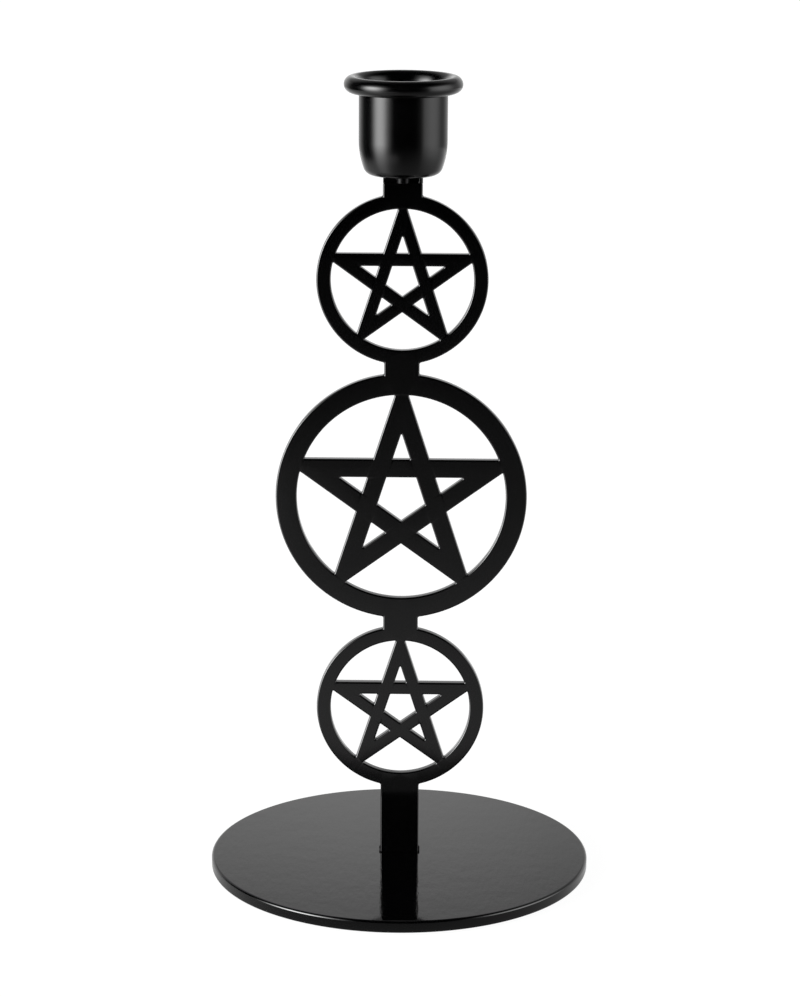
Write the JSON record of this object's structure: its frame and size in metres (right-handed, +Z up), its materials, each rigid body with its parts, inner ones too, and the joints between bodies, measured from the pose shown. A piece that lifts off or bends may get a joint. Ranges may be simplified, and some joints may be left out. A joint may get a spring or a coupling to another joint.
{
  "type": "candle holder",
  "caption": "Upright candle holder: round base, flat plate stem of star medallions, and a drawn cup with a rolled rim for a taper candle.",
  "frame": {"origin": "on the table under the middle of the round base", "axes": "+Z up along the stem and the candle, -Y towards the viewer of the star faces, +X to the viewer's right"},
  "size_m": [0.1188, 0.1188, 0.2504],
  "materials": {
    "base_coat": "glossy black powder coat on steel sheet",
    "stem_coat": "black powder coat on laser-cut steel sheet",
    "cup_coat": "satin black powder coat on drawn steel",
    "joint_coat": "matt black powder coat over the rivet and the welds",
    "pad_foam": "matte dark foam"
  },
  "bodies": {
    "root": {"base_plate": "base_coat", "stem_plate": "stem_coat", "candle_cup": "cup_coat", "cup_rivet": "joint_coat", "cup_tack_weld": "joint_coat", "cup_seam_weld": "joint_coat", "foot_weld": "joint_coat", "pad_1": "pad_foam", "pad_2": "pad_foam", "pad_3": "pad_foam", "pad_4": "pad_foam"}
  },
  "joints": []
}
